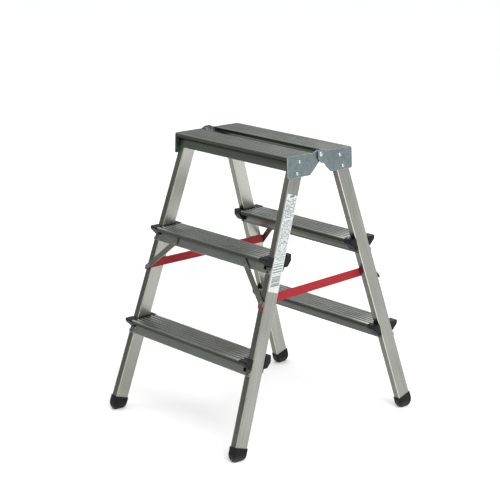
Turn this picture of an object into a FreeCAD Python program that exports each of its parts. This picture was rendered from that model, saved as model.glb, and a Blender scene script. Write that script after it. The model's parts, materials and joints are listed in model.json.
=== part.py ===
import FreeCAD, Part
import math
import os

# Double-sided folding step stool: two climbing frames joined by a hinge at the top.
# Millimetres. Origin on the floor midway between the four feet, +Z up, +X to the
# right of someone facing the front frame, +Y from the front frame to the rear frame.
# "v" is horizontal, from a stile's climbing face towards the middle of the stool.
# "w" is height measured from the crest of a tread's ribs, so it is mostly negative.

# ---- overall sizes ----
platform_height = 700.0
step_pitch = 232.0
half_width_top = 207.0
half_width_floor = 246.0
face_reach_top = 80.5
face_reach_floor = 306.5

# ---- stiles ----
stile_depth = 38.0
stile_thickness = 20.0
stile_wall = 1.6
stile_corner = 3.0
stile_top_gap = 0.5

# ---- treads ----
tread_depth = 80.0
nose_reach = 24.0
tread_height = 37.5
tread_skin = 2.5
tread_wall = 2.0
rib_count = 7
rib_pitch = 11.3
rib_width = 5.0
rib_flank = 0.5
rib_height = 1.0
lip_drop = 10.0
lip_thickness = 2.5
lip_end_round = 0.8
wall_end_round = 1.5
nose_radius = 2.5
lug_height = 9.1
lug_inset = 2.0
top_tread_inset = 0.4
stile_notch_gap = 1.5

# ---- moulded end caps of the lower treads ----
cap_strip = 3.85
cap_rise = 1.0
cap_overlap = 2.0
cap_front_end_height = 4.5
cap_rear_end_height = 10.5
cap_rear_shoulder = 15.0
cap_inner_depth = 12.0
cap_corner = 2.4
cap_nose_corner = 4.0
cap_gusset_corner = 1.0
cap_plan_corner = 6.0
cap_beyond_stile = 1.0
cap_lug_gap = 0.4
tooth_length = 6.0
tooth_rise = 0.6
tooth_root = 1.0
tooth_side_gap = 0.35
tooth_floor_gap = 0.1

# ---- hinge plates ----
plate_thickness = 2.5
plate_drop = 52.0
plate_corner = 4.5
pivot_below_top = 5.0
ear_radius = 10.0
ear_round = 6.0
ear_bottom = 22.5
ear_flank = 8.0
knee_radius = 4.0
hump_reach = 20.0
hump_radius = 10.0
knee_reach = 34.0
joggle_start = 13.0
joggle_end = 17.0
joggle_skew = 0.35
ear_gap = 1.2
plate_rivet_drops = (15.5, 43.0)

# ---- pivots ----
pivot_pin_radius = 4.0
pivot_head_radius = 6.0
pivot_head_height = 2.2
pivot_head_gap = 0.6
pivot_tail_height = 1.8
pivot_collar_radius = 6.5
pivot_collar_slack = 0.4
pivot_collar_seat = 0.02

# ---- braces ----
brace_width = 14.0
brace_thickness = 3.0
brace_end_x = 125.0
brace_rivet_inset = 10.0
brace_top_rivet_rise = 8.5
brace_low_rivet_drop = 101.3
brace_foot_drop = 9.0
brace_wall_gap = 0.05

# ---- straps ----
strap_width = 22.0
strap_thickness = 1.6
strap_rear_drop = 90.5
strap_right_front_drop = 104.5
strap_left_front_drop = 93.5
strap_tab_inset = 2.5
strap_side_gap = 1.0

# ---- feet ----
foot_wall = 2.2
foot_rim_height = 31.5
foot_dome_height = 18.0
foot_inset_across = 8.0
foot_inset_along = 13.0
foot_dome_angle = 78.0
foot_sections = 7
socket_gap = 0.1

# ---- rivets ----
rivet_head_radius = 4.0
rivet_head_height = 1.6
rivet_shank_radius = 2.4
rivet_tail_radius = 3.4
rivet_tail_length = 3.0
step_rivet_head_radius = 3.2
brace_rivet_head_radius = 3.6

# ---- label ----
label_width = 33.0
label_length = 234.0
label_top_drop = 85.0
label_corner = 1.5
label_thickness = 0.2
label_gap = 0.02

# ---- fits ----
part_gap = 0.15
bore_gap = 0.05
plate_lean_gap = 0.6
bore_overrun = 2.0
root_overlap = 0.5

# ---- derived values shared by several parts ----
tilt_slope = (face_reach_floor - face_reach_top) / platform_height
splay_slope = (half_width_floor - half_width_top) / platform_height
tilt = math.atan(tilt_slope)
splay = math.atan(splay_slope * math.cos(tilt))
plate_tilt = math.atan(splay_slope)
stile_run = stile_depth / math.cos(tilt)
wall_run = tread_wall / math.cos(tilt)
gap_run = part_gap / math.cos(tilt)
pivot_height = platform_height - pivot_below_top
brace_level = part_gap + tread_wall + brace_wall_gap
cap_side_height = tread_height - lug_height - cap_lug_gap
step_rivet_drop = tread_height - lug_height / 2
middle_tread_top = platform_height - step_pitch
brace_top_rivet_height = middle_tread_top - tread_height + brace_top_rivet_rise
brace_low_rivet_height = middle_tread_top - brace_low_rivet_drop
long_reach = 1200.0

X = FreeCAD.Vector(1, 0, 0)
Y = FreeCAD.Vector(0, 1, 0)
Z = FreeCAD.Vector(0, 0, 1)
down_face = FreeCAD.Vector(0, -math.sin(tilt), -math.cos(tilt))
out_face = FreeCAD.Vector(0, -math.cos(tilt), math.sin(tilt))
face_origin = FreeCAD.Vector(0, -face_reach_top, platform_height)


def frame_at(origin, x_dir, y_dir):
    """Placement whose local x and y axes point along two given directions."""
    z_dir = x_dir.cross(y_dir)
    matrix = FreeCAD.Matrix(
        x_dir.x, y_dir.x, z_dir.x, origin.x,
        x_dir.y, y_dir.y, z_dir.y, origin.y,
        x_dir.z, y_dir.z, z_dir.z, origin.z,
        0, 0, 0, 1)
    return FreeCAD.Placement(matrix)


def outline(points):
    """Closed wire in the local XY plane; a third number rounds that corner."""
    corners = []
    count = len(points)
    for index in range(count):
        here = FreeCAD.Vector(points[index][0], points[index][1], 0)
        radius = points[index][2] if len(points[index]) > 2 else 0
        if not radius:
            corners.append((here, here, None))
            continue
        before = FreeCAD.Vector(points[index - 1][0], points[index - 1][1], 0) - here
        after_point = points[(index + 1) % count]
        after = FreeCAD.Vector(after_point[0], after_point[1], 0) - here
        before.normalize()
        after.normalize()
        half = before.getAngle(after) / 2
        cut = radius / math.tan(half)
        bisector = before + after
        bisector.normalize()
        centre = here + bisector * (radius / math.sin(half))
        middle = centre - bisector * radius
        corners.append((here + before * cut, here + after * cut, middle))
    edges = []
    for index in range(count):
        start, end, middle = corners[index]
        if middle is not None:
            edges.append(Part.Arc(start, middle, end).toShape())
        following = corners[(index + 1) % count][0]
        if (following - end).Length > 1e-6:
            edges.append(Part.makeLine(end, following))
    return Part.Wire(edges)


def prism(points, placement, start, end):
    """Solid swept from an outline along the placement's local z axis."""
    face = Part.Face(outline(points))
    solid = face.extrude(FreeCAD.Vector(0, 0, end - start))
    solid.translate(FreeCAD.Vector(0, 0, start))
    solid.Placement = placement.multiply(solid.Placement)
    return solid


def box(x_low, x_high, y_low, y_high, z_low, z_high):
    """Axis-aligned block between six planes."""
    return Part.makeBox(x_high - x_low, y_high - y_low, z_high - z_low,
                        FreeCAD.Vector(x_low, y_low, z_low))


def rectangle(x_low, x_high, y_low, y_high, radius=0):
    """Corner points of a rectangle, all rounded alike."""
    return [(x_low, y_low, radius), (x_high, y_low, radius),
            (x_high, y_high, radius), (x_low, y_high, radius)]


def mirror_x(shape):
    """Copy on the other side of the stool's left-right middle plane."""
    return shape.mirror(FreeCAD.Vector(0, 0, 0), X)


def mirror_y(shape):
    """Copy on the other side of the plane through the hinge."""
    return shape.mirror(FreeCAD.Vector(0, 0, 0), Y)


def rod(point, direction, radius, start, end):
    """Cylinder about a line through a point, between two distances along it."""
    return Part.makeCylinder(radius, end - start, point + direction * start, direction)


def stile_x(height):
    """Distance of a stile's outer face from the middle, at a height."""
    return half_width_top + splay_slope * (platform_height - height)


def face_y(height):
    """Distance of a stile's climbing face from the hinge plane, at a height."""
    return face_reach_top + tilt_slope * (platform_height - height)


def on_face(x, height, level=0.0):
    """Point at a level above the front frame's climbing face."""
    along = (platform_height - height + level * math.sin(tilt)) / math.cos(tilt)
    return face_origin + X * x + down_face * along + out_face * level


# ---- stile envelope: local x across, y out of the climbing face, z down the stile ----
across = X * math.cos(splay) - down_face * math.sin(splay)
stile_frame = frame_at(face_origin + X * half_width_top, across, out_face)
down_stile = across.cross(out_face)


def centre_length(height):
    """Distance down the stile at which its centre line reaches a height."""
    start = stile_frame.multVec(FreeCAD.Vector(-stile_thickness / 2, -stile_depth / 2, 0))
    return (height - start.z) / down_stile.z


def centre_point(height):
    """Point of the stile's centre line at a height."""
    return stile_frame.multVec(FreeCAD.Vector(-stile_thickness / 2, -stile_depth / 2,
                                              centre_length(height)))


stile_end = centre_length(foot_dome_height)


def stile_bar(clearance, start, end, outward=0.0):
    """Solid bar along the front right stile, grown by a clearance."""
    points = rectangle(-stile_thickness - clearance, clearance + outward,
                       -stile_depth - clearance, clearance)
    return prism(points, stile_frame, start, end)


def make_stile():
    """Hollow rounded tube, cut level at the top and square at the foot."""
    tube = prism(rectangle(-stile_thickness, 0, -stile_depth, 0, stile_corner),
                 stile_frame, -stile_depth, stile_end)
    bore = prism(rectangle(-stile_thickness + stile_wall, -stile_wall,
                           -stile_depth + stile_wall, -stile_wall,
                           stile_corner - stile_wall),
                 stile_frame, -stile_depth, stile_end)
    tube = tube.cut(bore)
    under_skin = platform_height - rib_height - tread_skin - stile_top_gap
    return tube.cut(box(-long_reach, long_reach, -long_reach, long_reach,
                        under_skin, long_reach))


# ---- rivets ----
def rivet(point, direction, grip, head_radius):
    """Blind rivet: domed head on a surface, shank through the grip, formed tail."""
    head_round = (head_radius ** 2 + rivet_head_height ** 2) / (2 * rivet_head_height)
    centre = point + direction * (rivet_head_height - head_round)
    dome = Part.makeSphere(head_round, centre)
    keep = rod(point, direction, head_radius, 0.0, 2 * rivet_head_height)
    head = dome.common(keep)
    shank = rod(point, direction, rivet_shank_radius,
                -grip - part_gap - root_overlap, root_overlap)
    tail = rod(point, direction, rivet_tail_radius,
               -grip - part_gap - rivet_tail_length, -grip - part_gap)
    return head.fuse([shank, tail]).removeSplitter()


def rivet_bore(point, direction, grip):
    """Clearance hole for a rivet shank."""
    return rod(point, direction, rivet_shank_radius + bore_gap,
               -grip - bore_overrun, bore_overrun)


plate_normal = FreeCAD.Vector(math.cos(plate_tilt), 0, math.sin(plate_tilt))
plate_up = FreeCAD.Vector(-math.sin(plate_tilt), 0, math.cos(plate_tilt))
plate_frame = frame_at(FreeCAD.Vector(half_width_top, 0, platform_height), Y, plate_up)


def plate_rivet_point(drop, level):
    """Point over the middle of the front stile's outer face."""
    height = platform_height - drop
    middle = face_y(height) - stile_run / 2
    return (FreeCAD.Vector(stile_x(height), -middle, height)
            + plate_normal * level)


def step_rivet_point(tread_top, rear_wall):
    """Point on a tread's wall over the middle of the stile's narrow face."""
    height = tread_top - step_rivet_drop
    x = stile_x(height) - stile_thickness / 2
    if not rear_wall:
        return on_face(x, height, part_gap + tread_wall)
    level = -stile_depth - part_gap - tread_wall
    return on_face(x, height, level)


tread_tops = (platform_height - 2 * step_pitch, platform_height - step_pitch,
              platform_height)
tread_names = ("bottom", "middle", "top")
wall_grip = tread_wall + part_gap + stile_wall
plate_grip = plate_thickness + part_gap + plate_lean_gap + stile_wall
brace_top_grip = brace_thickness + brace_wall_gap + tread_wall
brace_low_grip = brace_level + brace_thickness + stile_wall


# ---- braces: flat bars in a plane in front of the climbing face ----
brace_frame = frame_at(face_origin, X, down_face * -1.0)
brace_low_x = stile_x(brace_low_rivet_height) - stile_thickness / 2
brace_top_x = brace_end_x + brace_rivet_inset
brace_surface = brace_level + brace_thickness
brace_top_point = on_face(brace_top_x, brace_top_rivet_height, brace_surface)
brace_low_point = on_face(brace_low_x, brace_low_rivet_height, brace_surface)


def face_drop(height, level):
    """Local coordinate down the climbing face, for a height and a level."""
    return -(platform_height - height + level * math.sin(tilt)) / math.cos(tilt)


def brace_band(upper, lower):
    """Outline along a brace's centre line, reaching two distances from the line."""
    low = FreeCAD.Vector(brace_low_x, face_drop(brace_low_rivet_height, brace_surface), 0)
    top = FreeCAD.Vector(brace_top_x, face_drop(brace_top_rivet_height, brace_surface), 0)
    along = low - top
    along.normalize()
    side = FreeCAD.Vector(-along.y, along.x, 0)
    start = top - along * half_width_top
    end = low + along * half_width_top
    corners = [start + side * upper, start - side * lower, end - side * lower,
               end + side * upper]
    return [(corner.x, corner.y) for corner in corners]


def make_brace():
    """Flat bar, upright at its upper end, cut to the stile's corner at its lower end."""
    half = brace_width / 2
    bar = prism(brace_band(half, half), brace_frame, brace_level, brace_surface)
    bar = bar.common(box(brace_end_x, stile_x(brace_low_rivet_height),
                         -long_reach, long_reach,
                         brace_low_rivet_height - brace_foot_drop, long_reach))
    bar = bar.cut(rivet_bore(brace_top_point, out_face, brace_thickness))
    return bar.cut(rivet_bore(brace_low_point, out_face, brace_thickness))


# ---- treads ----
def wall_v(w, offset):
    """Position of a surface parallel to the climbing face, on a tread profile."""
    return offset + tilt_slope * w


def tread_outline():
    """Outer outline: ribbed top, two drooping lips and a sloping hollow box."""
    rib_under = -rib_height
    skin_under = -rib_height - tread_skin
    front_wall = -gap_run - wall_run
    rear_wall = stile_run + gap_run + wall_run
    rear_edge = tread_depth - nose_reach
    first_rib = tread_depth / 2 - nose_reach - (rib_count - 1) * rib_pitch / 2
    points = [(-nose_reach, 0.0, nose_radius)]
    grooves = []
    for index in range(rib_count - 1):
        right = first_rib + index * rib_pitch + rib_width / 2
        following = first_rib + (index + 1) * rib_pitch - rib_width / 2
        points.append((right, 0.0))
        points.append((right + rib_flank, rib_under))
        points.append((following - rib_flank, rib_under))
        points.append((following, 0.0))
        grooves.append((right + rib_flank, following - rib_flank))
    points.append((rear_edge, 0.0, nose_radius))
    points.append((rear_edge, -lip_drop, lip_end_round))
    points.append((rear_edge - lip_thickness, -lip_drop, lip_end_round))
    points.append((rear_edge - lip_thickness, skin_under))
    points.append((wall_v(skin_under, rear_wall), skin_under))
    points.append((wall_v(-tread_height, rear_wall), -tread_height, wall_end_round))
    points.append((wall_v(-tread_height, front_wall), -tread_height, wall_end_round))
    points.append((wall_v(skin_under, front_wall), skin_under))
    points.append((-nose_reach + lip_thickness, skin_under))
    points.append((-nose_reach + lip_thickness, -lip_drop, lip_end_round))
    points.append((-nose_reach, -lip_drop, lip_end_round))
    return points, grooves


def tread_cavity(floor_w):
    """Outline of the hollow between a tread's walls, down to a floor."""
    skin_under = -rib_height - tread_skin
    front = -gap_run
    rear = stile_run + gap_run
    return [(wall_v(skin_under, front), skin_under), (wall_v(skin_under, rear), skin_under),
            (wall_v(floor_w, rear), floor_w), (wall_v(floor_w, front), floor_w)]


def tread_frame(tread_top):
    """Local x inwards from the climbing face, local y up, local z to the right."""
    origin = FreeCAD.Vector(0, -face_y(tread_top), tread_top)
    return frame_at(origin, Y, Z)


def tread_end(tread_top):
    """Half length of a lower tread's skin and box, short of the stile's inner face."""
    return stile_x(tread_top) - stile_thickness / math.cos(splay) - part_gap - cap_strip


def step_rivet_bores(tread_top):
    """Holes for the four wall rivets of one tread."""
    holes = []
    for rear_wall in (False, True):
        direction = out_face * (-1.0 if rear_wall else 1.0)
        hole = rivet_bore(step_rivet_point(tread_top, rear_wall), direction, wall_grip)
        holes.append(hole)
        holes.append(mirror_x(hole))
    return holes


def make_tread(index):
    """One tread of the front frame."""
    tread_top = tread_tops[index]
    place = tread_frame(tread_top)
    points = tread_outline()[0]
    is_top = index == 2
    lug_reach = stile_x(tread_top - tread_height) - lug_inset
    reach = half_width_top - top_tread_inset if is_top else lug_reach
    solid = prism(points, place, -reach, reach)
    floor_w = -tread_height + tread_wall
    below_w = -2 * tread_height
    solid = solid.cut(prism(tread_cavity(floor_w), place, -long_reach, long_reach))
    if is_top:
        notch_start = stile_x(tread_top) - stile_thickness - stile_notch_gap
        notch = prism(tread_cavity(below_w), place, notch_start, long_reach)
        solid = solid.cut([notch, mirror_x(notch)])
    else:
        end = tread_end(tread_top)
        high = box(end, long_reach, -long_reach, long_reach,
                   tread_top - tread_height + lug_height, tread_top + rib_height)
        notch = prism(tread_cavity(below_w), place, end, long_reach)
        solid = solid.cut([high, mirror_x(high), notch, mirror_x(notch)])
    solid = solid.cut(step_rivet_bores(tread_top))
    if index == 1:
        hole = rivet_bore(brace_top_point, out_face, brace_top_grip)
        solid = solid.cut([hole, mirror_x(hole)])
    return solid


def make_end_cap(index):
    """Moulded cap on the right end of a lower tread, wrapped round the stile."""
    tread_top = tread_tops[index]
    place = tread_frame(tread_top)
    end = tread_end(tread_top)
    outer = stile_x(tread_top) + cap_beyond_stile
    front = -nose_reach - cap_overlap
    rear = tread_depth - nose_reach + cap_overlap
    front_foot = front + cap_side_height - cap_front_end_height
    points = [(front, cap_rise, cap_corner),
              (front, -cap_front_end_height, cap_nose_corner),
              (front_foot, -cap_side_height, cap_gusset_corner),
              (rear - cap_rear_shoulder, -cap_side_height, cap_gusset_corner),
              (rear, -cap_rear_end_height, cap_nose_corner),
              (rear, cap_rise, cap_corner)]
    body = prism(points, place, end + part_gap, outer)
    inner = end + part_gap + cap_strip
    body = body.cut(box(-long_reach, inner, -long_reach, long_reach,
                        tread_top - 2 * cap_side_height, tread_top - cap_inner_depth))
    low_y = -face_y(tread_top) + front
    high_y = -face_y(tread_top) + rear
    plan = [(0, low_y), (outer, low_y, cap_plan_corner),
            (outer, high_y, cap_plan_corner), (0, high_y)]
    level = frame_at(FreeCAD.Vector(0, 0, tread_top), X, Y)
    body = body.common(prism(plan, level, -2 * cap_side_height, 2 * cap_rise))
    body = body.cut(stile_bar(part_gap, 0.0, stile_end, outward=stile_depth))
    teeth = []
    for groove_low, groove_high in tread_outline()[1]:
        y_low = -face_y(tread_top) + groove_low + tooth_side_gap
        y_high = -face_y(tread_top) + groove_high - tooth_side_gap
        teeth.append(box(end - tooth_length, end + part_gap + tooth_root, y_low, y_high,
                         tread_top - rib_height + tooth_floor_gap,
                         tread_top + tooth_rise))
    return body.fuse(teeth).removeSplitter()


# ---- hinge plates: drawn in a plane leaning with the stiles' outer faces ----
def plate_q(height):
    """Height turned into distance up the leaning plate."""
    return (height - platform_height) / math.cos(plate_tilt)


nose_line = face_reach_top + nose_reach


def plate_outline(sign, ear_corners):
    """Outline of the front (+1) or rear (-1) plate, given its ear's lower corners."""
    pivot_q = plate_q(pivot_height)
    outer = -nose_line * sign
    bottom_q = plate_q(platform_height - plate_drop)
    points = [(outer, 0.0, plate_corner),
              (outer, bottom_q, plate_corner),
              (-knee_reach * sign, bottom_q, knee_radius)]
    for reach, height, radius in ear_corners:
        points.append((reach * sign, plate_q(height), radius))
    points.append((ear_radius * sign, pivot_q + ear_radius, ear_radius - 0.5))
    points.append((-ear_radius * sign, pivot_q + ear_radius, knee_radius))
    points.append((-hump_reach * sign, 0.0, hump_radius))
    return points


def pivot_line(radius, start, end):
    """Cylinder on the hinge axis, between two distances from the middle."""
    return rod(FreeCAD.Vector(0, 0, pivot_height), X, radius, start, end)


def plate_slab(level, thickness):
    """Leaning slab round the hinge, at a level above the right stile."""
    return prism(rectangle(-nose_line, nose_line, -plate_drop, plate_drop), plate_frame,
                 level, level + thickness)


front_plate_level = part_gap
ear_level = front_plate_level + plate_thickness + ear_gap


def make_front_plate():
    """Flat plate riveted to the front stile, under the rear plate's ear."""
    corners = ((-ear_flank, pivot_height - ear_bottom, knee_radius),
               (ear_radius, pivot_height - ear_round, ear_round))
    plate = prism(plate_outline(1, corners), plate_frame, front_plate_level,
                  front_plate_level + plate_thickness)
    plate = plate.cut(pivot_line(pivot_pin_radius + bore_gap, 0.0, long_reach))
    for drop in plate_rivet_drops:
        point = plate_rivet_point(drop, front_plate_level + plate_thickness)
        plate = plate.cut(rivet_bore(point, plate_normal, plate_grip))
    return plate


def make_rear_plate():
    """Joggled plate: flat on the rear stile, stepped out over the front plate."""
    low = front_plate_level
    high = ear_level
    skew = (joggle_end - joggle_start) * joggle_skew
    low_top = low + plate_thickness
    high_top = high + plate_thickness
    points = [(-nose_line, high), (joggle_start, high), (joggle_end, low),
              (2 * nose_line, low), (2 * nose_line, low_top), (joggle_end + skew, low_top),
              (joggle_start + skew, high_top), (-nose_line, high_top)]
    origin = FreeCAD.Vector(half_width_top, 0, platform_height)
    section = frame_at(origin, Y, plate_normal)
    strip = prism(points, section, -2 * plate_drop, 2 * plate_drop)
    corners = ((-ear_flank, pivot_height - ear_bottom, knee_radius),
               (0.0, pivot_height - ear_bottom, knee_radius),
               (ear_radius, pivot_height - ear_radius, knee_radius))
    blank = prism(plate_outline(-1, corners), plate_frame, 0.0, 2 * high_top)
    plate = strip.common(blank)
    plate = plate.cut(pivot_line(pivot_pin_radius + bore_gap, 0.0, long_reach))
    for drop in plate_rivet_drops:
        point = mirror_point_y(plate_rivet_point(drop, low_top))
        plate = plate.cut(rivet_bore(point, plate_normal, plate_grip))
    return plate


def mirror_point_y(point):
    """Point moved to the rear frame."""
    return FreeCAD.Vector(point.x, -point.y, point.z)


def make_hinge_pin():
    """Shouldered rivet fixed in the front plate, on which the rear plate turns."""
    lean = splay_slope * pivot_below_top
    inner = half_width_top + lean + front_plate_level / math.cos(plate_tilt)
    outer_ear = half_width_top + lean + (ear_level + plate_thickness) / math.cos(plate_tilt)
    under_head = outer_ear + pivot_head_gap
    shank = pivot_line(pivot_pin_radius, inner - root_overlap, under_head + root_overlap)
    head_round = (pivot_head_radius ** 2 + pivot_head_height ** 2) / (2 * pivot_head_height)
    centre = FreeCAD.Vector(under_head + pivot_head_height - head_round, 0, pivot_height)
    dome = Part.makeSphere(head_round, centre)
    head = dome.common(pivot_line(pivot_head_radius, under_head,
                                  under_head + 2 * pivot_head_height))
    collar_start = front_plate_level + plate_thickness + pivot_collar_seat
    collar_end = ear_level - pivot_collar_slack
    collar_rod = pivot_line(pivot_collar_radius, 0.0, long_reach)
    collar = plate_slab(collar_start, collar_end - collar_start).common(collar_rod)
    tail_level = front_plate_level - part_gap / 2 - pivot_tail_height
    tail = plate_slab(tail_level, pivot_tail_height).common(collar_rod)
    return shank.fuse([head, collar, tail]).removeSplitter()


# ---- feet ----
def foot_section(share):
    """Outline of the dome, from square to the stile (0) to level on the floor (1)."""
    angle = math.radians(foot_dome_angle) * share
    descent = math.sin(angle) / math.sin(math.radians(foot_dome_angle))
    shrink = 1 - math.cos(angle)
    half_x = stile_thickness / 2 + foot_wall - foot_inset_across * shrink
    half_y = stile_depth / 2 + foot_wall - foot_inset_along * shrink
    start = centre_point(foot_dome_height)
    bend = centre_point(foot_dome_height / 2)
    bottom = FreeCAD.Vector(bend.x, bend.y, 0)
    centre = (start * (1 - descent) ** 2 + bend * (2 * descent * (1 - descent))
              + bottom * descent ** 2)
    normal = down_stile * (1 - share) - Z * share
    normal.normalize()
    side = out_face - normal * out_face.dot(normal)
    side.normalize()
    place = frame_at(centre, side.cross(normal), side)
    wire = outline(rectangle(-half_x, half_x, -half_y, half_y, stile_corner + foot_wall))
    wire.Placement = place
    return wire


def make_foot():
    """Rubber boot on the end of a stile, domed below with a level wear pad."""
    rim = centre_length(foot_rim_height)
    grow = foot_wall
    sleeve = prism(rectangle(-stile_thickness - grow, grow, -stile_depth - grow, grow,
                             stile_corner + grow),
                   stile_frame, rim, stile_end)
    wires = [foot_section(index / (foot_sections - 1)) for index in range(foot_sections)]
    dome = Part.makeLoft(wires, True, False)
    gap = socket_gap
    socket = prism(rectangle(-stile_thickness - gap, gap, -stile_depth - gap, gap,
                             stile_corner),
                   stile_frame, rim - foot_wall, stile_end + gap)
    boot = sleeve.fuse(dome).cut(socket)
    return boot.cut(box(-long_reach, long_reach, -long_reach, long_reach,
                        -long_reach, 0.0))


# ---- straps ----
def inner_face_x(height):
    """Distance of a stile's inner face from the middle, at a height."""
    return stile_x(height) - stile_thickness / math.cos(splay)


def strap_tab(height):
    """End of the webbing, folded onto the climbing face and trimmed under the brace."""
    half = strap_width / 2
    stand_off = strap_side_gap + strap_thickness
    outer = stile_x(height) - strap_tab_inset
    fall = (outer - inner_face_x(height)) * tilt_slope
    low = face_drop(height - half, 0)
    high = face_drop(height + half, 0)
    points = [(inner_face_x(height - half) - stand_off, low), (outer, low - fall),
              (outer, high - fall), (inner_face_x(height + half) - stand_off, high)]
    tab = prism(points, brace_frame, part_gap, part_gap + strap_thickness)
    under_brace = prism(brace_band(brace_width / 2, half_width_top), brace_frame,
                        0.0, brace_level)
    hole = rivet_bore(brace_low_point, out_face, brace_low_grip)
    return tab.common(under_brace).cut(hole)


def make_strap(front_height, rear_height):
    """Webbing on the right side, its ends lapped round both stiles' edges."""
    half = strap_width / 2
    middle_height = (front_height + rear_height) / 2
    rise = (rear_height - front_height) / (face_y(front_height) + face_y(rear_height))
    reach = 2 * face_y(middle_height)
    side = frame_at(FreeCAD.Vector(inner_face_x(middle_height), 0, middle_height),
                    Y, plate_up)
    points = [(-reach, -rise * reach - half), (reach, rise * reach - half),
              (reach, rise * reach + half), (-reach, -rise * reach + half)]
    band = prism(points, side, -strap_side_gap - strap_thickness, -strap_side_gap)
    inside = prism(rectangle(-long_reach, long_reach, -long_reach, long_reach),
                   brace_frame, -long_reach, part_gap + strap_thickness)
    band = band.common(inside).common(mirror_y(inside))
    tabs = [strap_tab(front_height), mirror_y(strap_tab(rear_height))]
    return band.fuse(tabs).removeSplitter()


# ---- label ----
def make_label():
    """Thin printed label on the outer face of the front right stile."""
    side = frame_at(stile_frame.Base, out_face, across.cross(out_face))
    top = label_top_drop / math.cos(tilt)
    margin = (stile_depth - label_width) / 2
    points = rectangle(-stile_depth + margin, -margin, top, top + label_length,
                       label_corner)
    return prism(points, side, label_gap, label_gap + label_thickness)


# ---- build the front frame, then mirror what repeats ----
def collect_step_rivets():
    """All wall rivets of the front frame's treads."""
    rivets = []
    for tread_top in tread_tops:
        for rear_wall in (False, True):
            direction = out_face * (-1.0 if rear_wall else 1.0)
            one = rivet(step_rivet_point(tread_top, rear_wall), direction, wall_grip,
                        step_rivet_head_radius)
            rivets.append(one)
            rivets.append(mirror_x(one))
    return rivets


def collect_brace_rivets():
    """Upper and lower rivets of both front braces."""
    rivets = []
    for point, grip in ((brace_top_point, brace_top_grip), (brace_low_point, brace_low_grip)):
        one = rivet(point, out_face, grip, brace_rivet_head_radius)
        rivets.append(one)
        rivets.append(mirror_x(one))
    return rivets


def collect_plate_rivets():
    """Rivets of both front hinge plates."""
    rivets = []
    for drop in plate_rivet_drops:
        point = plate_rivet_point(drop, front_plate_level + plate_thickness)
        one = rivet(point, plate_normal, plate_grip, rivet_head_radius)
        rivets.append(one)
        rivets.append(mirror_x(one))
    return rivets


def stile_holes():
    """Rivet holes of the front right stile."""
    holes = []
    for tread_top in tread_tops:
        for rear_wall in (False, True):
            direction = out_face * (-1.0 if rear_wall else 1.0)
            holes.append(rivet_bore(step_rivet_point(tread_top, rear_wall), direction,
                                    wall_grip))
    holes.append(rivet_bore(brace_low_point, out_face, brace_low_grip))
    for drop in plate_rivet_drops:
        point = plate_rivet_point(drop, front_plate_level + plate_thickness)
        holes.append(rivet_bore(point, plate_normal, plate_grip))
    return holes


nodes = {}


def add(name, shape):
    """Keep a finished node."""
    nodes[name] = shape


def unmoved(shape):
    """The front frame keeps the shapes where they were drawn."""
    return shape


stile = make_stile().cut(stile_holes())
brace = make_brace()
foot = make_foot()
front_plate = make_front_plate()
rear_plate = make_rear_plate()
pin = make_hinge_pin()
strap_rear_height = middle_tread_top - strap_rear_drop
strap_right = make_strap(middle_tread_top - strap_right_front_drop, strap_rear_height)
strap_left = make_strap(middle_tread_top - strap_left_front_drop, strap_rear_height)
treads = [make_tread(index) for index in range(3)]
caps = [make_end_cap(index) for index in range(2)]
step_rivets = Part.makeCompound(collect_step_rivets())
brace_rivets = Part.makeCompound(collect_brace_rivets())
plate_rivets = Part.makeCompound(collect_plate_rivets())

for frame_name, turn in (("front", unmoved), ("rear", mirror_y)):
    add(frame_name + "_stile_right", turn(stile))
    add(frame_name + "_stile_left", turn(mirror_x(stile)))
    add(frame_name + "_foot_right", turn(foot))
    add(frame_name + "_foot_left", turn(mirror_x(foot)))
    add(frame_name + "_brace_right", turn(brace))
    add(frame_name + "_brace_left", turn(mirror_x(brace)))
    for index in range(3):
        add(frame_name + "_tread_" + tread_names[index], turn(treads[index]))
    for index in range(2):
        cap_name = frame_name + "_end_cap_" + tread_names[index]
        add(cap_name + "_right", turn(caps[index]))
        add(cap_name + "_left", turn(mirror_x(caps[index])))
    add(frame_name + "_step_rivets", turn(step_rivets))
    add(frame_name + "_brace_rivets", turn(brace_rivets))
    add(frame_name + "_plate_rivets", turn(plate_rivets))

add("front_hinge_plate_right", front_plate)
add("front_hinge_plate_left", mirror_x(front_plate))
add("rear_hinge_plate_right", rear_plate)
add("rear_hinge_plate_left", mirror_x(rear_plate))
add("hinge_pin_right", pin)
add("hinge_pin_left", mirror_x(pin))
add("strap_right", strap_right)
add("strap_left", mirror_x(strap_left))
add("label_front_right", make_label())

os.makedirs("parts", exist_ok=True)
for name in sorted(nodes):
    shape = nodes[name]
    bounds = shape.BoundBox
    print("%-26s solids %2d valid %s volume %9.0f  x %7.1f %7.1f  y %7.1f %7.1f  z %7.2f %7.2f"
          % (name, len(shape.Solids), shape.isValid(), shape.Volume, bounds.XMin,
             bounds.XMax, bounds.YMin, bounds.YMax, bounds.ZMin, bounds.ZMax))
    shape.exportStep("parts/" + name + ".step")
print("nodes", len(nodes))
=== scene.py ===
import json
import math

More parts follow.
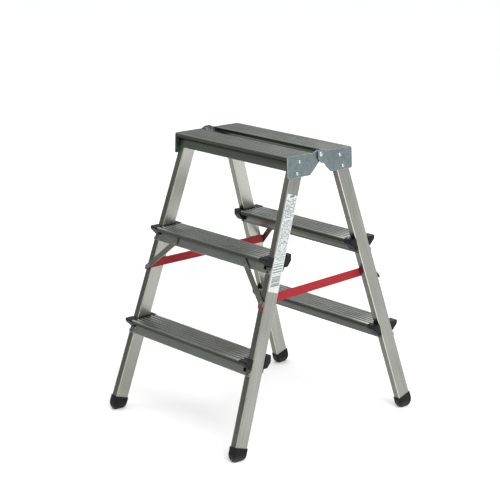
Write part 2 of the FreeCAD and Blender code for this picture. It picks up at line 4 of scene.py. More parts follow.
import bmesh
import bpy
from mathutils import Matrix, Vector


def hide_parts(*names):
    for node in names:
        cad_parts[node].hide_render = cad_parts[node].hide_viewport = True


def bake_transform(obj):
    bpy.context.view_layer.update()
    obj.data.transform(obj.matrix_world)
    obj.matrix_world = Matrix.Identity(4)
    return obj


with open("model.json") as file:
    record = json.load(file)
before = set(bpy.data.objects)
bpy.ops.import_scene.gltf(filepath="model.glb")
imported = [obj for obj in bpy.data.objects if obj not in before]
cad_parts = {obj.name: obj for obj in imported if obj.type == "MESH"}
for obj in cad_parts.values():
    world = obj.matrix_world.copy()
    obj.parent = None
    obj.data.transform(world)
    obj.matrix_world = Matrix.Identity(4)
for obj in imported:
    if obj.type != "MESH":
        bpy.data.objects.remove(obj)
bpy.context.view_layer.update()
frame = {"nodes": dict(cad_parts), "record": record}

# ---- sizes of the step stool, in metres, as the CAD model has them ----
PLATFORM = 0.700
STEP_PITCH = 0.232
HALF_WIDTH_TOP = 0.207
FACE_REACH_TOP = 0.0805
TILT_SLOPE = 0.226 / 0.700
SPLAY_SLOPE = 0.039 / 0.700
STILE_THICKNESS = 0.020
STILE_DEPTH = 0.038
TILT = math.atan(TILT_SLOPE)
SPLAY = math.atan(SPLAY_SLOPE * math.cos(TILT))
MIDDLE_TREAD_TOP = PLATFORM - STEP_PITCH
OUTER_U = (HALF_WIDTH_TOP * math.cos(SPLAY)
           + (PLATFORM * math.cos(TILT) - FACE_REACH_TOP * math.sin(TILT)) * math.sin(SPLAY))
CLIMBING_V = FACE_REACH_TOP * math.cos(TILT) + PLATFORM * math.sin(TILT)
BRACE_LOW = (0.2156, 0.3667)
BRACE_TOP = (0.1350, 0.4390)
BRACE_HALF_WIDTH = 0.007

# ---- placeholder label on the near front stile ----
LABEL_TOP = 0.615
LABEL_LENGTH = 0.234
LABEL_WIDTH = 0.033
LABEL_INSET = 0.0025
LABEL_DROP = LABEL_LENGTH * math.cos(TILT) * math.cos(SPLAY)
LABEL_WIDTH_RUN = LABEL_WIDTH / math.cos(TILT)
LABEL_FRONT = FACE_REACH_TOP + TILT_SLOPE * PLATFORM - LABEL_INSET / math.cos(TILT)

# ---- webbing straps; a drop is measured from the top of the middle treads ----
STRAP_WIDTH = 0.022
STRAP_THICKNESS = 0.0015
STRAP_REAR_DROP = 0.0905
STRAP_FRONT_DROP = {"right": 0.1045, "left": 0.0935}
STRAP_REAR = MIDDLE_TREAD_TOP - STRAP_REAR_DROP
STRAP_FRONT = {side: MIDDLE_TREAD_TOP - drop for side, drop in STRAP_FRONT_DROP.items()}
STRAP_GAP = 0.0010
STRAP_RIBS = 13
STRAP_PICK = 0.0019
RIB_SWELL = 0.14
COLUMNS_PER_RIB = 4
SELVEDGE_ROUND = 0.0006
TAB_REACH = 0.0165
TAB_LEVEL = 0.00015
TAB_BELOW_EDGE = 0.0017
BEND_RADIUS = 0.0022
BEND_STEPS = 6
RUN_STEPS = 120

# ---- depths below a tread's top where its finish, its painted shade and its painted highlights change ----
CREST_LEAD = 0.002
CREST_HIGHLIGHT_FADE = (0.0006, 0.0002)
VALLEY_START = (0.00045, 0.0009)
VALLEY_END = (0.0016, 0.0012)
LIP_START = (0.0015, 0.0030)
LIP_END = (0.0112, 0.0100)
WALL_START = (0.0105, 0.0118)
NEAR_END = (0.105, 0.022)
BELOW_PLATFORM = (0.65, 0.60)
AT_PLATFORM = (0.60, 0.64)
REAR_WALL = (0.030, 0.034)

# ---- depths below a stile's outer face or its climbing face where its painted highlights and painted shade change ----
INNER_FACE = (STILE_THICKNESS - 0.0012, STILE_THICKNESS - 0.0003)
INNER_HIGHLIGHT_RISE = (0.10, 0.60)
NARROW_FACE = (0.0006, 0.0001)
CORNER_HIGHLIGHT_BAND = (0.00015, 0.0007)

# ---- bands down the label, as shares of its length, and their rows ----
HEADING_BAND = (0.030, 0.055)
BLOCK_BAND = (0.070, 0.27)
NOTE_BAND = (0.28, 0.71)
RULE_BAND = (0.73, 0.84)
CODE_BAND = (0.86, 0.965)
RULE_ROWS = 36.0
CODE_ROWS = 300.0

# ---- tones, painted highlights and painted shade among them, as linear red, green and blue ----
CREST_HIGHLIGHT = (0.66, 0.68, 0.66)
CORNER_HIGHLIGHT = (0.82, 0.82, 0.77)
ZINC_DARK = (0.15, 0.19, 0.20)
ZINC_LIGHT = (0.27, 0.33, 0.335)
ZINC_EDGE_HIGHLIGHT = (0.70, 0.75, 0.76)
ZINC_SCRATCH = (0.55, 0.60, 0.61)
FLOOR_DUST = (0.16, 0.15, 0.13)
YARN_GAP_SHADE = (0.16, 0.004, 0.009)
YARN_RED = (0.47, 0.012, 0.022)
YARN_LIGHT = (0.55, 0.022, 0.032)
YARN_SOILED = (0.26, 0.010, 0.016)
YARN_SELVEDGE = (0.20, 0.006, 0.012)
PAPER_CLEAN = (0.59, 0.62, 0.61)
PAPER_DULL = (0.48, 0.51, 0.50)
LABEL_INK = (0.085, 0.095, 0.105)
FLOOR_DARK = (0.90, 0.90, 0.895)
FLOOR_LIGHT = (0.93, 0.93, 0.925)


# ---------------------------------------------------------------- node graphs
class Graph:
    """A material under construction: short names for the nodes it uses."""

    def __init__(self, name):
        self.material = bpy.data.materials.new(name)
        self.material.use_nodes = True
        self.tree = self.material.node_tree
        self.tree.nodes.clear()
        self.shader = self.tree.nodes.new("ShaderNodeBsdfPrincipled")
        out = self.tree.nodes.new("ShaderNodeOutputMaterial")
        self.tree.links.new(self.shader.outputs[0], out.inputs[0])

    def put(self, socket, value):
        """Links a socket to another node's output, or sets it to a plain value."""
        if isinstance(value, bpy.types.NodeSocket):
            self.tree.links.new(value, socket)
        else:
            socket.default_value = value

    def node(self, kind, inputs=None, **settings):
        made = self.tree.nodes.new(kind)
        for key, value in settings.items():
            setattr(made, key, value)
        for key, value in (inputs or {}).items():
            self.put(made.inputs[key], value)
        return made

    def math(self, operation, a, b=0.0, c=0.0, clamp=False):
        made = self.node("ShaderNodeMath", {0: a, 1: b, 2: c}, operation=operation)
        made.use_clamp = clamp
        return made.outputs[0]

    def add(self, a, b):
        return self.math("ADD", a, b)

    def mul(self, a, b):
        return self.math("MULTIPLY", a, b)

    def place(self):
        """The position of a point in the piece's own space, as three separate numbers."""
        coord = self.node("ShaderNodeTexCoord").outputs["Object"]
        parts = self.node("ShaderNodeSeparateXYZ", {0: coord})
        return parts.outputs[0], parts.outputs[1], parts.outputs[2]

    def into_stile(self, x, y, z):
        """Depths of a point below a stile's outer face and below its climbing face."""
        wide, deep = self.math("ABSOLUTE", x), self.math("ABSOLUTE", y)
        u = self.math("MULTIPLY_ADD", wide, -math.cos(SPLAY), OUTER_U)
        u = self.math("MULTIPLY_ADD", deep, math.sin(TILT) * math.sin(SPLAY), u)
        u = self.math("MULTIPLY_ADD", z, -math.cos(TILT) * math.sin(SPLAY), u)
        v = self.math("MULTIPLY_ADD", deep, -math.cos(TILT), CLIMBING_V)
        v = self.math("MULTIPLY_ADD", z, -math.sin(TILT), v)
        return u, v

    def join(self, x, y, z):
        return self.node("ShaderNodeCombineXYZ", {0: x, 1: y, 2: z}).outputs[0]

    def noise(self, vector, scale, detail=2.0, roughness=0.5, distortion=0.0):
        made = self.node("ShaderNodeTexNoise", {
            "Vector": vector, "Scale": scale, "Detail": detail,
            "Roughness": roughness, "Distortion": distortion})
        return made.outputs[0]

    def step(self, value, low, high, out_low=0.0, out_high=1.0):
        """Smooth ramp of a value between two limits."""
        made = self.node("ShaderNodeMapRange", {
            "Value": value, "From Min": low, "From Max": high,
            "To Min": out_low, "To Max": out_high}, interpolation_type="SMOOTHSTEP")
        return made.outputs[0]

    def mix(self, factor, a, b):
        """Colour between two colours."""
        made = self.node("ShaderNodeMix", data_type="RGBA")
        self.put(made.inputs[0], factor)
        for socket, value in ((made.inputs[6], a), (made.inputs[7], b)):
            self.put(socket, value if isinstance(value, bpy.types.NodeSocket)
                     else (*value, 1.0))
        return made.outputs[2]

    def edges(self, radius):
        """1 along sharp or rounded edges, 0 on flat faces."""
        soft = self.node("ShaderNodeBevel", {"Radius": radius}, samples=6)
        true = self.node("ShaderNodeNewGeometry").outputs["True Normal"]
        dot = self.node("ShaderNodeVectorMath", {0: soft.outputs[0], 1: true},
                        operation="DOT_PRODUCT")
        return self.step(dot.outputs["Value"], 0.995, 0.80)

    def bump(self, height, strength, distance):
        made = self.node("ShaderNodeBump", {
            "Height": height, "Strength": strength, "Distance": distance})
        return made.outputs[0]

    def finish(self, colour, roughness, normal, **fixed):
        self.put(self.shader.inputs["Base Color"], colour)
        self.put(self.shader.inputs["Roughness"], roughness)
        self.put(self.shader.inputs["Normal"], normal)
        for key, value in fixed.items():
            self.shader.inputs[key.replace("_", " ")].default_value = value
        return self.material


def metal(name, light, dark, rough, along, corner=0.0012, shaded=None):
    """Extruded or rolled aluminium: drawing lines, tone clouds, scuffs, and edges that are
    lighter partly from wear and partly as painted highlight.

    Stiles and treads also carry painted shade in the colour `shaded` and painted
    highlights in a brighter one, fixed to places on the part.
    """
    g = Graph(name)
    x, y, z = g.place()
    side = g.add(g.mul(g.math("SIGN", x), 3.1), g.mul(g.math("SIGN", y), 5.7))
    u, v = g.into_stile(x, y, z)
    if along == "stile":
        lines = g.join(u, v, g.add(g.mul(z, 0.012), side))
        cloud = g.join(g.mul(u, 2.0), g.mul(v, 2.0), g.add(g.mul(z, 0.35), side))
        scuff = g.join(u, v, g.add(g.mul(z, 0.10), side))
    elif along == "tread":
        lines = g.join(g.mul(x, 0.012), y, z)
        cloud = g.join(g.mul(x, 0.35), y, g.mul(z, 1.4))
        scuff = g.join(g.mul(x, 0.22), g.mul(y, 0.8), z)
    else:
        lines = g.join(g.mul(x, 0.05), g.mul(z, 0.35), y)
        cloud = g.join(x, y, z)
        scuff = g.join(x, g.mul(y, 0.4), z)
    fine = g.noise(lines, 1500.0, 3.0, 0.62)
    broad = g.noise(lines, 210.0, 2.0, 0.55)
    tone = g.noise(cloud, 17.0, 4.0, 0.62)
    smudge = g.noise(cloud, 46.0, 3.0, 0.55, 0.6)
    scratch = g.step(g.noise(scuff, 620.0, 2.0, 0.5, 0.25), 0.70, 0.76)
    edge_mask = g.edges(corner)
    blend = g.add(g.mul(g.math("SUBTRACT", tone, 0.5), 1.1),
                  g.mul(g.math("SUBTRACT", broad, 0.5), 0.75))
    blend = g.add(blend, g.mul(g.math("SUBTRACT", fine, 0.5), 0.45))
    colour = g.mix(g.math("ADD", blend, 0.5, clamp=True), dark, light)
    bright = tuple(min(1.0, c * 1.28) for c in light)
    # edges lightened towards `bright`: partly wear, partly painted highlight
    colour = g.mix(g.mul(edge_mask, 0.55), colour, bright)
    colour = g.mix(g.mul(scratch, 0.30), colour, bright)
    height = g.add(g.mul(fine, 0.6), g.mul(broad, 0.4))
    roughness = g.add(g.mul(smudge, 0.16), rough - 0.08)
    roughness = g.add(roughness, g.mul(fine, 0.10))
    roughness = g.math("SUBTRACT", roughness, g.mul(edge_mask, 0.08))
    if along == "stile":
        from_side = g.math("MINIMUM", u, g.math("SUBTRACT", STILE_THICKNESS, u))
        from_face = g.math("MINIMUM", v, g.math("SUBTRACT", STILE_DEPTH, v))
        # painted highlight: the stiles' inner faces are lightened, more so higher up
        inner = g.step(u, *INNER_FACE)
        fade = g.step(z, *INNER_HIGHLIGHT_RISE, 0.20, 0.85)
        colour = g.mix(g.mul(inner, fade), colour, bright)
        # painted shade on the stiles' narrow faces, stronger in patches of the broad noise
        narrow = g.mul(g.step(from_face, *NARROW_FACE), g.step(broad, 0.25, 0.7, 0.45, 0.75))
        colour = g.mix(narrow, colour, shaded)
        # painted highlight: a light line along the stiles' rounded corners
        corner_highlight_mask = g.step(g.math("MINIMUM", from_side, from_face), *CORNER_HIGHLIGHT_BAND)
        colour = g.mix(g.mul(corner_highlight_mask, 0.75), colour, CORNER_HIGHLIGHT)
    if along == "tread":
        turn = g.math("DIVIDE", g.math("SUBTRACT", PLATFORM + CREST_LEAD, z), STEP_PITCH)
        depth = g.math("MULTIPLY_ADD", g.math("FRACT", turn), STEP_PITCH, -CREST_LEAD)
        valley = g.mul(g.step(depth, *VALLEY_START), g.step(depth, *VALLEY_END))
        # the rib grooves are darkened and roughened: partly dirt, partly painted shade
        groove_dirt_and_shade = g.mul(valley, g.step(g.noise(cloud, 60.0, 4.0, 0.6), 0.25, 0.7, 0.2, 0.65))
        colour = g.mix(groove_dirt_and_shade, colour, tuple(c * 0.45 for c in dark))
        roughness = g.add(roughness, g.mul(groove_dirt_and_shade, 0.20))
        # painted highlight: rib crests lighter near the tread ends, on the treads below the
        # platform
        near_end = g.step(u, *NEAR_END)
        crest_highlight_mask = g.mul(g.step(depth, *CREST_HIGHLIGHT_FADE), g.step(z, *BELOW_PLATFORM))
        colour = g.mix(g.mul(g.mul(crest_highlight_mask, near_end), 0.62), colour, CREST_HIGHLIGHT)
        lip = g.mul(g.step(depth, *LIP_START), g.step(depth, *LIP_END))
        wall = g.step(depth, *WALL_START)
        # painted highlight: the tread walls below the lip are lightened
        colour = g.mix(g.mul(wall, 0.5), colour, bright)
        # painted shade on the treads' rear walls and on the platform's walls, varied by noise
        behind = g.step(v, *REAR_WALL)
        wall_shade_mask = g.math("MAXIMUM", behind, g.step(z, *AT_PLATFORM))
        shade = g.step(g.noise(lines, 90.0, 2.0, 0.5), 0.3, 0.7, 0.6, 0.92)
        colour = g.mix(g.mul(g.mul(wall, wall_shade_mask), shade), colour, shaded)
        # painted shade: the lip along each tread's nosing is darkened
        colour = g.mix(g.mul(lip, g.add(g.mul(shade, 0.4), 0.6)), colour,
                       tuple(c * 0.55 for c in shaded))
    return g.finish(colour, roughness, g.bump(height, 0.22, 0.00010), Metallic=1.0)


def zinc(name):
    """Galvanised sheet: soft crystal spangle, handling scratches and a painted highlight along
    its edges.
    """
    g = Graph(name)
    x, y, z = g.place()
    flat = g.join(g.mul(x, 0.6), y, z)
    bent = g.noise(flat, 55.0, 2.0)
    cells = g.node("ShaderNodeTexVoronoi", {
        "Vector": g.join(g.math("MULTIPLY_ADD", bent, 0.012, x),
                         g.math("MULTIPLY_ADD", bent, 0.012, y),
                         g.math("MULTIPLY_ADD", bent, -0.010, z)),
        "Scale": 150.0}, feature="F1")
    crystal = g.node("ShaderNodeSeparateColor", {0: cells.outputs["Color"]}).outputs[0]
    tone = g.noise(flat, 26.0, 4.0, 0.6)
    rub = g.noise(g.join(x, g.mul(y, 0.10), z), 700.0, 3.0, 0.6)
    scratch = g.step(g.noise(g.join(x, g.mul(y, 0.16), g.mul(z, 1.3)), 420.0, 2.0, 0.5, 0.3),
                     0.70, 0.75)
    edge_mask = g.edges(0.0014)
    blend = g.add(g.mul(crystal, 0.42), g.mul(tone, 0.62))
    colour = g.mix(blend, ZINC_DARK, ZINC_LIGHT)
    # painted highlight along the plate's edges
    colour = g.mix(g.mul(edge_mask, 0.85), colour, ZINC_EDGE_HIGHLIGHT)
    colour = g.mix(g.mul(scratch, 0.35), colour, ZINC_SCRATCH)
    roughness = g.add(g.mul(crystal, 0.10), g.add(g.mul(tone, 0.14), 0.24))
    height = g.add(g.mul(rub, 0.5), g.mul(crystal, 0.5))
    return g.finish(colour, roughness, g.bump(height, 0.20, 0.00010), Metallic=1.0)


def plain_metal(name, light, dark, rough):
    """Small turned or headed fasteners: fine grain and slight tarnish."""
    g = Graph(name)
    x, y, z = g.place()
    at = g.join(x, y, z)
    grain = g.noise(at, 1900.0, 3.0, 0.6)
    tarnish = g.noise(at, 240.0, 3.0, 0.6)
    colour = g.mix(g.step(tarnish, 0.35, 0.7), light, dark)
    roughness = g.add(g.mul(grain, 0.14), rough)
    return g.finish(colour, roughness, g.bump(grain, 0.18, 0.00008), Metallic=1.0)


def moulded(name, base, scuffed, rough, grain_scale, dusty=0.0):
    """Moulded black plastic or rubber: fine texture, rubbed edges and a little dust."""
    g = Graph(name)
    x, y, z = g.place()
    at = g.join(x, y, z)
    grain = g.noise(at, grain_scale, 2.0, 0.5)
    cloud = g.noise(at, 70.0, 4.0, 0.6)
    pits = g.node("ShaderNodeTexVoronoi", {"Vector": at, "Scale": grain_scale * 0.55},
                  feature="F1").outputs["Distance"]
    edge_mask = g.edges(0.0012)
    rubbed = g.mul(edge_mask, g.step(cloud, 0.35, 0.7, 0.25, 0.85))
    colour = g.mix(g.step(cloud, 0.3, 0.75), base, tuple(c * 1.7 for c in base))
    colour = g.mix(g.mul(rubbed, 0.6), colour, scuffed)
    if dusty:
        low = g.mul(g.step(z, 0.020, 0.0), g.step(cloud, 0.35, 0.65))
        colour = g.mix(g.mul(low, dusty), colour, FLOOR_DUST)
    roughness = g.add(g.mul(cloud, 0.18), rough)
    roughness = g.math("SUBTRACT", roughness, g.mul(rubbed, 0.10))
    height = g.add(g.mul(grain, 0.6), g.mul(pits, 0.4))
    return g.finish(colour, roughness, g.bump(height, 0.35, 0.00016),
                    Specular_IOR_Level=0.22)


def webbing(name):
    """Red woven polyester tape: ribs along it, picks across it, painted shade in the gaps
    between yarns, a darker selvedge.
    """
    g = Graph(name)
    uv = g.node("ShaderNodeUVMap", uv_map="tape").outputs[0]
    parts = g.node("ShaderNodeSeparateXYZ", {0: uv})
    along, over = parts.outputs[0], parts.outputs[1]
    rib = g.mul(over, STRAP_RIBS)
    row = g.math("FLOOR", rib)
    shift = g.mul(g.math("MODULO", row, 2.0), 0.5)
    pick = g.math("FRACT", g.add(g.math("DIVIDE", along, STRAP_PICK), shift))
    hump = g.math("SINE", g.mul(pick, math.pi))
    crown = g.math("SINE", g.mul(g.math("FRACT", rib), math.pi))
    yarn = g.mul(hump, crown)
    thread = g.noise(g.join(g.mul(along, 60.0), g.mul(over, 9.0), 0.0), 9.0, 3.0, 0.6)
    tone = g.noise(g.join(g.mul(along, 14.0), over, 0.0), 2.2, 4.0, 0.6)
    # painted shade in the gaps between the yarns
    colour = g.mix(yarn, YARN_GAP_SHADE, YARN_RED)
    colour = g.mix(g.mul(thread, 0.30), colour, YARN_LIGHT)
    colour = g.mix(g.step(tone, 0.4, 0.75, 0.0, 0.25), colour, YARN_SOILED)
    edge = g.math("ABSOLUTE", g.math("SUBTRACT", over, 0.5))
    selvedge = g.step(edge, 0.455, 0.49)
    colour = g.mix(g.mul(selvedge, 0.55), colour, YARN_SELVEDGE)
    roughness = g.add(g.mul(thread, 0.16), 0.55)
    height = g.add(g.mul(yarn, 0.8), g.mul(thread, 0.2))
    return g.finish(colour, roughness, g.bump(height, 0.55, 0.00030),
                    Sheen_Weight=0.05, Sheen_Roughness=0.45, Specular_IOR_Level=0.30)


def printed_label(name):
    """White vinyl with generic grey placeholder marks: blocks, dashes and rulings."""
    g = Graph(name)
    x, y, z = g.place()
    v = g.math("MULTIPLY_ADD", z, TILT_SLOPE, g.math("ABSOLUTE", y))
    across = g.math("DIVIDE", g.math("SUBTRACT", LABEL_FRONT, v), LABEL_WIDTH_RUN)
    down = g.math("DIVIDE", g.math("SUBTRACT", LABEL_TOP, z), LABEL_DROP)

    def band(value, low, high):
        return g.mul(g.math("GREATER_THAN", value, low), g.math("LESS_THAN", value, high))

    def dashes(rows, columns, share, seed):
        """Rows of short blocks of uneven length, with bare paper between the rows."""
        row = g.mul(down, rows)
        line = g.math("FLOOR", row)
        slide = g.node("ShaderNodeTexWhiteNoise",
                       {"Vector": g.join(line, seed, 0.0)}, noise_dimensions="3D")
        cell = g.math("FLOOR", g.add(g.mul(across, columns), g.mul(slide.outputs[0], 9.0)))
        pick = g.node("ShaderNodeTexWhiteNoise",
                      {"Vector": g.join(line, cell, seed)}, noise_dimensions="3D")
        ink = g.math("LESS_THAN", pick.outputs[0], share)
        return g.mul(ink, band(g.math("FRACT", row), 0.22, 0.78))

    margin = band(across, 0.06, 0.94)
    heading = g.mul(band(down, *HEADING_BAND), band(across, 0.30, 0.72))
    blocks = g.mul(band(down, *BLOCK_BAND), dashes(60.0, 14.0, 0.72, 1.0))
    notes = g.mul(band(down, *NOTE_BAND), dashes(74.0, 19.0, 0.60, 2.0))
    rules = g.mul(band(down, *RULE_BAND),
                  band(g.math("FRACT", g.mul(down, RULE_ROWS)), 0.12, 0.55))
    bars = g.node("ShaderNodeTexWhiteNoise",
                  {"Vector": g.join(g.math("FLOOR", g.mul(down, CODE_ROWS)), 4.0, 0.0)},
                  noise_dimensions="3D")
    code = g.mul(band(down, *CODE_BAND), g.math("LESS_THAN", bars.outputs[0], 0.55))
    code = g.mul(code, band(across, 0.12, 0.90))
    ink = heading
    for more in (blocks, notes, rules, code):
        ink = g.math("MAXIMUM", ink, more)
    ink = g.mul(ink, margin)
    at = g.join(x, y, z)
    fade = g.noise(at, 160.0, 4.0, 0.6)
    film = g.noise(at, 900.0, 3.0, 0.6)
    paper = g.mix(g.step(fade, 0.4, 0.75), PAPER_CLEAN, PAPER_DULL)
    colour = g.mix(g.mul(ink, g.step(fade, 0.2, 0.7, 0.97, 0.8)), paper, LABEL_INK)
    roughness = g.add(g.mul(film, 0.18), 0.26)
    return g.finish(colour, roughness, g.bump(film, 0.12, 0.00006))


# ---------------------------------------------------------------- straps
def stile_inner(z):
    """Distance of a stile's inner face from the middle, at a height."""
    return HALF_WIDTH_TOP + SPLAY_SLOPE * (PLATFORM - z) - STILE_THICKNESS / math.cos(SPLAY)


def face_reach(z):
    """Distance of a climbing face from the hinge plane, at a height."""
    return FACE_REACH_TOP + TILT_SLOPE * (PLATFORM - z)


def brace_top_edge(x):
    """Height of a brace's upper edge where it covers the webbing."""
    slope = (BRACE_TOP[1] - BRACE_LOW[1]) / (BRACE_TOP[0] - BRACE_LOW[0])
    offset = BRACE_HALF_WIDTH * math.hypot(1.0, slope / math.cos(TILT)) * math.cos(TILT)
    return BRACE_LOW[1] + slope * (x - BRACE_LOW[0]) + offset - TAB_BELOW_EDGE


def strap_end(height):
    """Front end of the right tape: its tab and the bend round the stile's edge.

    Each station is a point, the turn of its outward normal from the climbing
    direction towards the middle of the stool, and the half width left above the point.
    """
    half = STRAP_THICKNESS / 2
    level = TAB_LEVEL + half
    side = -(STRAP_GAP + half)
    flat = []
    for index in range(BEND_STEPS):
        flat.append((TAB_REACH + (side + BEND_RADIUS - TAB_REACH) * index / BEND_STEPS,
                     -level, 0.0))
    for index in range(BEND_STEPS + 1):
        angle = math.pi / 2 * index / BEND_STEPS
        flat.append((side + BEND_RADIUS - BEND_RADIUS * math.sin(angle),
                     -level + BEND_RADIUS - BEND_RADIUS * math.cos(angle), angle))
    stations = []
    for x, y, angle in flat:
        fall = (x - side) * TILT_SLOPE
        z = height - fall * math.cos(TILT)
        point = Vector((stile_inner(height) + x,
                        -face_reach(height) - fall * math.sin(TILT) + y, z))
        room = min(STRAP_WIDTH / 2, brace_top_edge(point.x) - z)
        above = STRAP_WIDTH / 2 + (room - STRAP_WIDTH / 2) * math.cos(angle)
        stations.append((point, angle, above))
    return stations


def strap_stations(side):
    """Stations along the whole of one strap, drawn on the right of the stool."""
    front = strap_end(STRAP_FRONT[side])
    rear = []
    for point, angle, above in reversed(strap_end(STRAP_REAR)):
        rear.append((Vector((point.x, -point.y, point.z)), math.pi - angle, above))
    start, finish = front[-1][0], rear[0][0]
    run = []
    for index in range(1, RUN_STEPS):
        run.append((start.lerp(finish, index / RUN_STEPS), math.pi / 2, STRAP_WIDTH / 2))
    return front + run + rear


def tape_section():
    """Closed cross-section of the tape: place over the width and signed thickness."""
    columns = STRAP_RIBS * COLUMNS_PER_RIB
    profile = []
    for index in range(columns + 1):
        over = index / columns
        rib = abs(math.sin(math.pi * over * STRAP_RIBS))
        round_off = min(1.0, min(over, 1 - over) * STRAP_WIDTH / SELVEDGE_ROUND)
        thick = STRAP_THICKNESS / 2 * (1 - (1 - round_off) ** 2) ** 0.5
        profile.append((over, thick * (1 - RIB_SWELL + RIB_SWELL * rib)))
    return profile + [(over, -thick) for over, thick in reversed(profile[1:-1])]


def strap_rings(mesh, side, section):
    """Rings of vertices along one strap, and the length travelled at each of them."""
    sign = 1.0 if side == "right" else -1.0
    rings = []
    travels = []
    travel = 0.0
    before = None
    for middle, angle, above in strap_stations(side):
        if before is not None:
            travel += (middle - before).length
        before = middle
        travels.append(travel)
        normal = Vector((-math.sin(angle), -math.cos(angle), 0.0))
        up = Vector((-SPLAY_SLOPE, TILT_SLOPE * math.cos(angle), 1.0))
        ring = []
        for over, thick in section:
            rise = -STRAP_WIDTH / 2 + over * (STRAP_WIDTH / 2 + above)
            point = middle + up * rise + normal * thick
            point.x *= sign
            ring.append(mesh.verts.new(point))
        rings.append(ring)
    return rings, travels


def strap_mesh(name, side):
    """Closed mesh of one strap, unwrapped along its length, and that length."""
    mesh = bmesh.new()
    tape = mesh.loops.layers.uv.new("tape")
    section = tape_section()
    overs = [over for over, thick in section]
    size = len(section)

    def skin(vertices, values):
        face = mesh.faces.new(vertices)
        for loop, value in zip(face.loops, values):
            loop[tape].uv = value

    rings, travels = strap_rings(mesh, side, section)
    for a in range(len(rings) - 1):
        for b in range(size):
            c = (b + 1) % size
            skin((rings[a][b], rings[a + 1][b], rings[a + 1][c], rings[a][c]),
                 ((travels[a], overs[b]), (travels[a + 1], overs[b]),
                  (travels[a + 1], overs[c]), (travels[a], overs[c])))
    half = size // 2 + 1
    for ring, at in ((rings[0], travels[0]), (rings[-1], travels[-1])):
        for index in range(1, half):
            corners = [index - 1, index]
            if index < half - 1:
                corners.append(size - index)
            if index > 1:
                corners.append(size - index + 1)
            corners = [corner % size for corner in corners]
            skin([ring[corner] for corner in corners],
                 [(at, overs[corner]) for corner in corners])
    bmesh.ops.recalc_face_normals(mesh, faces=mesh.faces)
    data = bpy.data.meshes.new(name)
    mesh.to_mesh(data)
    mesh.free()
    for polygon in data.polygons:
        polygon.use_smooth = True
    return data, travels[-1]


def make_strap(side, material):
    """Woven tape with rounded selvedges, lapped round both stiles' climbing edges."""
    name = "webbing_strap_" + side
    data, length = strap_mesh(name, side)
    piece = bpy.data.objects.new(name, data)
    bpy.context.scene.collection.objects.link(piece)
    data.materials.append(material)
    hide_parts("strap_" + side)
    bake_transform(piece)


# ---------------------------------------------------------------- finishes
stile_metal = metal("extruded_stile", (0.37, 0.375, 0.345), (0.21, 0.215, 0.195), 0.25,
                    "stile", corner=0.0030, shaded=(0.125, 0.120, 0.088))
tread_metal = metal("extruded_tread", (0.26, 0.275, 0.25), (0.12, 0.128, 0.112), 0.28,
                    "tread", shaded=(0.048, 0.050, 0.040))
brace_metal = metal("flat_brace", (0.25, 0.252, 0.222), (0.14, 0.142, 0.122), 0.34, "bar")
finishes = {
    "stile_aluminium": stile_metal,
    "tread_aluminium": tread_metal,
    "brace_aluminium": brace_metal,
    "plate_zinc": zinc("galvanised_plate"),
    "rivet_metal": plain_metal("bright_rivet", (0.62, 0.65, 0.65), (0.36, 0.38, 0.38), 0.27),
    "step_rivet_dark": plain_metal("dark_rivet", (0.06, 0.06, 0.06), (0.02, 0.02, 0.02), 0.38),
    "cap_plastic": moulded("moulded_cap", (0.0030, 0.0033, 0.0040), (0.028, 0.029, 0.031),
                           0.40, 2400.0),
    "foot_rubber": moulded("rubber_foot", (0.0035, 0.0037, 0.0042), (0.025, 0.026, 0.026),
                           0.50, 1700.0, dusty=0.35),
    "label_vinyl": printed_label("placeholder_label"),
}
strap_material = webbing("woven_tape")

slots_of = {row["node"]: row["material_slot"] for row in frame["record"]["subparts"]}
for node_name, piece in frame["nodes"].items():
    slot_name = slots_of[node_name]
    if slot_name in finishes:
        piece.data.materials.clear()
        piece.data.materials.append(finishes[slot_name])

for side_name in ("right", "left"):
    make_strap(side_name, strap_material)

# ---------------------------------------------------------------- floor
floor_graph = Graph("studio_floor")
fx, fy, fz = floor_graph.place()
floor_cloud = floor_graph.noise(floor_graph.join(fx, fy, fz), 3.0, 3.0, 0.5)
floor_colour = floor_graph.mix(floor_cloud, FLOOR_DARK, FLOOR_LIGHT)
floor_material = floor_graph.finish(floor_colour, 0.75,
                                    floor_graph.bump(floor_cloud, 0.01, 0.001),
                                    Specular_IOR_Level=0.0)
FLOOR_HALF = 40.0
floor_data = bpy.data.meshes.new("floor")
floor_data.from_pydata([(-FLOOR_HALF, -FLOOR_HALF, 0.0), (FLOOR_HALF, -FLOOR_HALF, 0.0),
                        (FLOOR_HALF, FLOOR_HALF, 0.0), (-FLOOR_HALF, FLOOR_HALF, 0.0)],
                       [], [(0, 1, 2, 3)])
floor = bpy.data.objects.new("floor", floor_data)
floor_data.materials.append(floor_material)
bpy.context.scene.collection.objects.link(floor)

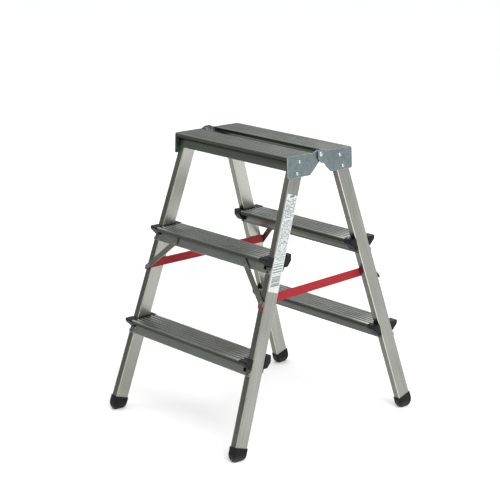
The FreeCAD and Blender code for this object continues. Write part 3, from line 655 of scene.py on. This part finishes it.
# ---------------------------------------------------------------- light
SKY_RAMP = {"From Min": 0.15, "From Max": 0.66, "To Min": 0.20, "To Max": 1.28}
world = bpy.data.worlds.new("studio")
bpy.context.scene.world = world
world.use_nodes = True
tree = world.node_tree
tree.nodes.clear()
coord = tree.nodes.new("ShaderNodeTexCoord")
split = tree.nodes.new("ShaderNodeSeparateXYZ")
tree.links.new(coord.outputs["Generated"], split.inputs[0])
ramp = tree.nodes.new("ShaderNodeMapRange")
ramp.interpolation_type = "SMOOTHSTEP"
tree.links.new(split.outputs[2], ramp.inputs["Value"])
for limit, value in SKY_RAMP.items():
    ramp.inputs[limit].default_value = value
background = tree.nodes.new("ShaderNodeBackground")
background.inputs[0].default_value = (0.99, 1.0, 1.0, 1.0)
tree.links.new(ramp.outputs[0], background.inputs[1])
output = tree.nodes.new("ShaderNodeOutputWorld")
tree.links.new(background.outputs[0], output.inputs[0])


def soft_light(name, place, target, size, power):
    """Rectangular softbox aimed at a point."""
    data = bpy.data.lights.new(name, "AREA")
    data.shape = "RECTANGLE"
    data.size, data.size_y = size
    data.energy = power
    lamp = bpy.data.objects.new(name, data)
    lamp.location = place
    aim = Vector(target) - Vector(place)
    lamp.rotation_mode = "QUATERNION"
    lamp.rotation_quaternion = aim.to_track_quat("-Z", "Y")
    bpy.context.scene.collection.objects.link(lamp)


# name, place, point aimed at, size in metres, power in watts
for softbox in (("key", (2.6, -0.6, 3.0), (0.0, 0.0, 0.4), (2.2, 2.2), 84.0),
                ("fill", (-2.4, -2.8, 2.4), (0.0, 0.0, 0.35), (1.6, 1.6), 9.0),
                ("back", (-1.6, 3.0, 2.6), (0.0, 0.0, 0.4), (2.0, 1.2), 24.0)):
    soft_light(*softbox)

# ---------------------------------------------------------------- camera
CAMERA_AZIMUTH = math.radians(48.867)
CAMERA_ELEVATION = math.radians(14.863)
camera_data = bpy.data.cameras.new("camera")
camera_data.sensor_width = 36.0
camera_data.lens = 114.43
camera_data.clip_end = 200.0
camera = bpy.data.objects.new("camera", camera_data)
camera.location = (2.88391, -2.55605, 1.43998)
back = Vector((math.sin(CAMERA_AZIMUTH) * math.cos(CAMERA_ELEVATION),
               -math.cos(CAMERA_AZIMUTH) * math.cos(CAMERA_ELEVATION),
               math.sin(CAMERA_ELEVATION)))
camera.rotation_mode = "QUATERNION"
camera.rotation_quaternion = (-back).to_track_quat("-Z", "Y")
bpy.context.scene.collection.objects.link(camera)
bpy.context.scene.camera = camera
bpy.context.scene.view_settings.view_transform = "Standard"
